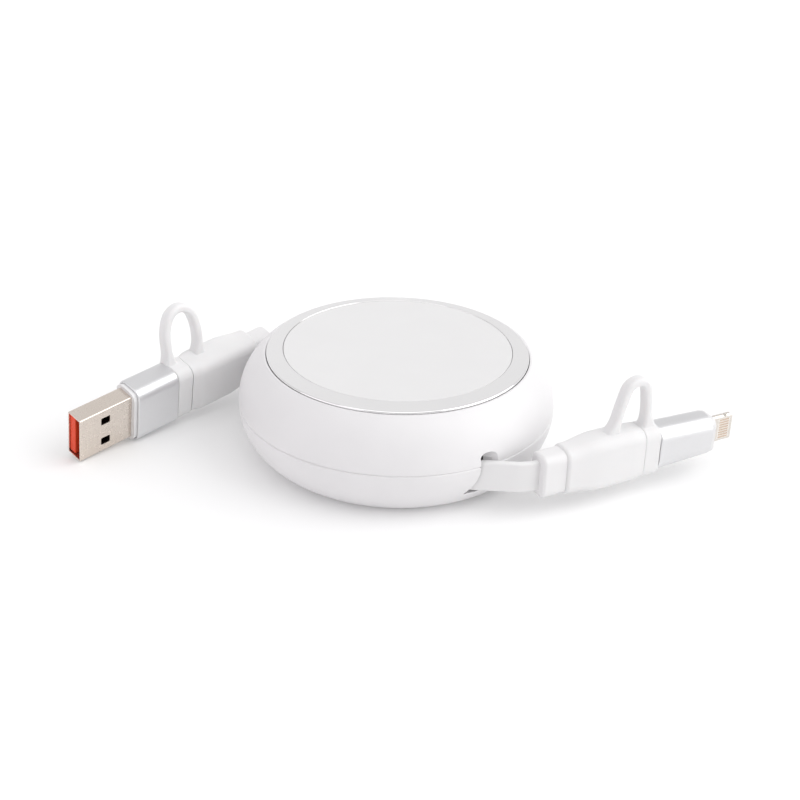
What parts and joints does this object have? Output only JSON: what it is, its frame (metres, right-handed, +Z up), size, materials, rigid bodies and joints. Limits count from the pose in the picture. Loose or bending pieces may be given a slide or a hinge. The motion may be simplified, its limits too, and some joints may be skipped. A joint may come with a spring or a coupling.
{
  "type": "retractable charging cable",
  "caption": "Round reel housing that winds in a flat charging cable; the end plugs carry push-on adapters, a standard-A plug and a slim tab plug, tethered by soft straps.",
  "frame": {"origin": "centre of the housing's flat base, on the reel's axis", "axes": "+Z up along the reel's axis; +X the way the cable with the tab adapter leaves the housing"},
  "size_m": [0.1488, 0.0714, 0.0296],
  "materials": {
    "white_shell": "smooth white moulding",
    "white_disc": "smooth white disc, slightly satin",
    "chrome_ring": "polished plating",
    "reel_plastic": "plain moulding inside the housing",
    "spring_steel": "bright spring steel",
    "cable_jacket": "soft white cable jacket",
    "white_plastic": "hard white moulding",
    "white_silicone": "soft matt white silicone",
    "plug_steel": "plated sheet",
    "black_plastic": "black insulator",
    "sleeve_aluminium": "fine blasted and clear anodised",
    "usb_a_nickel": "warm nickel plating",
    "usb_a_orange": "orange-red insulator",
    "gilt_contacts": "gilt contact strips",
    "tab_steel": "fine plated steel",
    "cream_plastic": "cream insulator"
  },
  "bodies": {
    "housing": {"lower_shell": "white_shell", "upper_shell": "white_shell", "trim_ring": "chrome_ring", "top_disc": "white_disc", "ratchet_ball": "spring_steel"},
    "reel": {"spool": "reel_plastic", "spring_barrel": "reel_plastic", "barrel_cover": "reel_plastic", "mainspring": "spring_steel", "right_winding": "cable_jacket", "left_winding": "cable_jacket"},
    "right_lead": {"right_cable": "cable_jacket", "right_inner_mould": "white_plastic", "right_plug_body": "white_silicone", "right_usb_c_shell": "plug_steel", "right_contact_carrier": "black_plastic", "right_tether": "white_silicone"},
    "left_lead": {"left_cable": "cable_jacket", "left_inner_mould": "white_plastic", "left_plug_body": "white_silicone", "left_usb_c_shell": "plug_steel", "left_contact_carrier": "black_plastic", "left_tether": "white_silicone"},
    "tab_adapter": {"tab_adapter_sleeve": "sleeve_aluminium", "tab_adapter_core": "white_plastic", "tab_adapter_socket": "plug_steel", "tab_adapter_tongue": "black_plastic", "tab_plug": "tab_steel", "tab_insulator": "cream_plastic", "tab_contacts": "gilt_contacts"},
    "usb_a_adapter": {"usb_a_adapter_sleeve": "sleeve_aluminium", "usb_a_adapter_core": "white_plastic", "usb_a_adapter_socket": "plug_steel", "usb_a_adapter_tongue": "black_plastic", "usb_a_shell": "usb_a_nickel", "usb_a_tongue": "usb_a_orange", "usb_a_contacts": "gilt_contacts"}
  },
  "joints": [
    {"name": "reel_spin", "type": "hinge", "parent": "housing", "child": "reel", "pos_m": [0, 0, 0.0096], "axis": [0, 0, 1], "range_deg": [0, 1260], "stiffness_Nm_per_rad": 0.00095, "springref_deg": -721.93, "deforming": ["mainspring"]},
    {"name": "right_pull", "type": "slide", "parent": "housing", "child": "right_lead", "axis": [1, 0, 0], "range_m": [0, 0.45], "deforming": ["right_cable"]},
    {"name": "left_pull", "type": "slide", "parent": "housing", "child": "left_lead", "axis": [-1, 0, 0], "range_m": [0, 0.45], "deforming": ["left_cable"]},
    {"name": "tab_adapter_pull", "type": "slide", "parent": "right_lead", "child": "tab_adapter", "axis": [0.8526, 0.5225, 0], "range_m": [0, 0.012], "deforming": ["right_tether"]},
    {"name": "usb_a_adapter_pull", "type": "slide", "parent": "left_lead", "child": "usb_a_adapter", "axis": [-0.6616, -0.7452, -0.0837], "range_m": [0, 0.012], "deforming": ["left_tether"]}
  ],
  "couplings": [
    {"joint": "right_pull", "follows": "reel_spin", "m_per_rad": 0.02046},
    {"joint": "left_pull", "follows": "reel_spin", "m_per_rad": 0.02046}
  ]
}
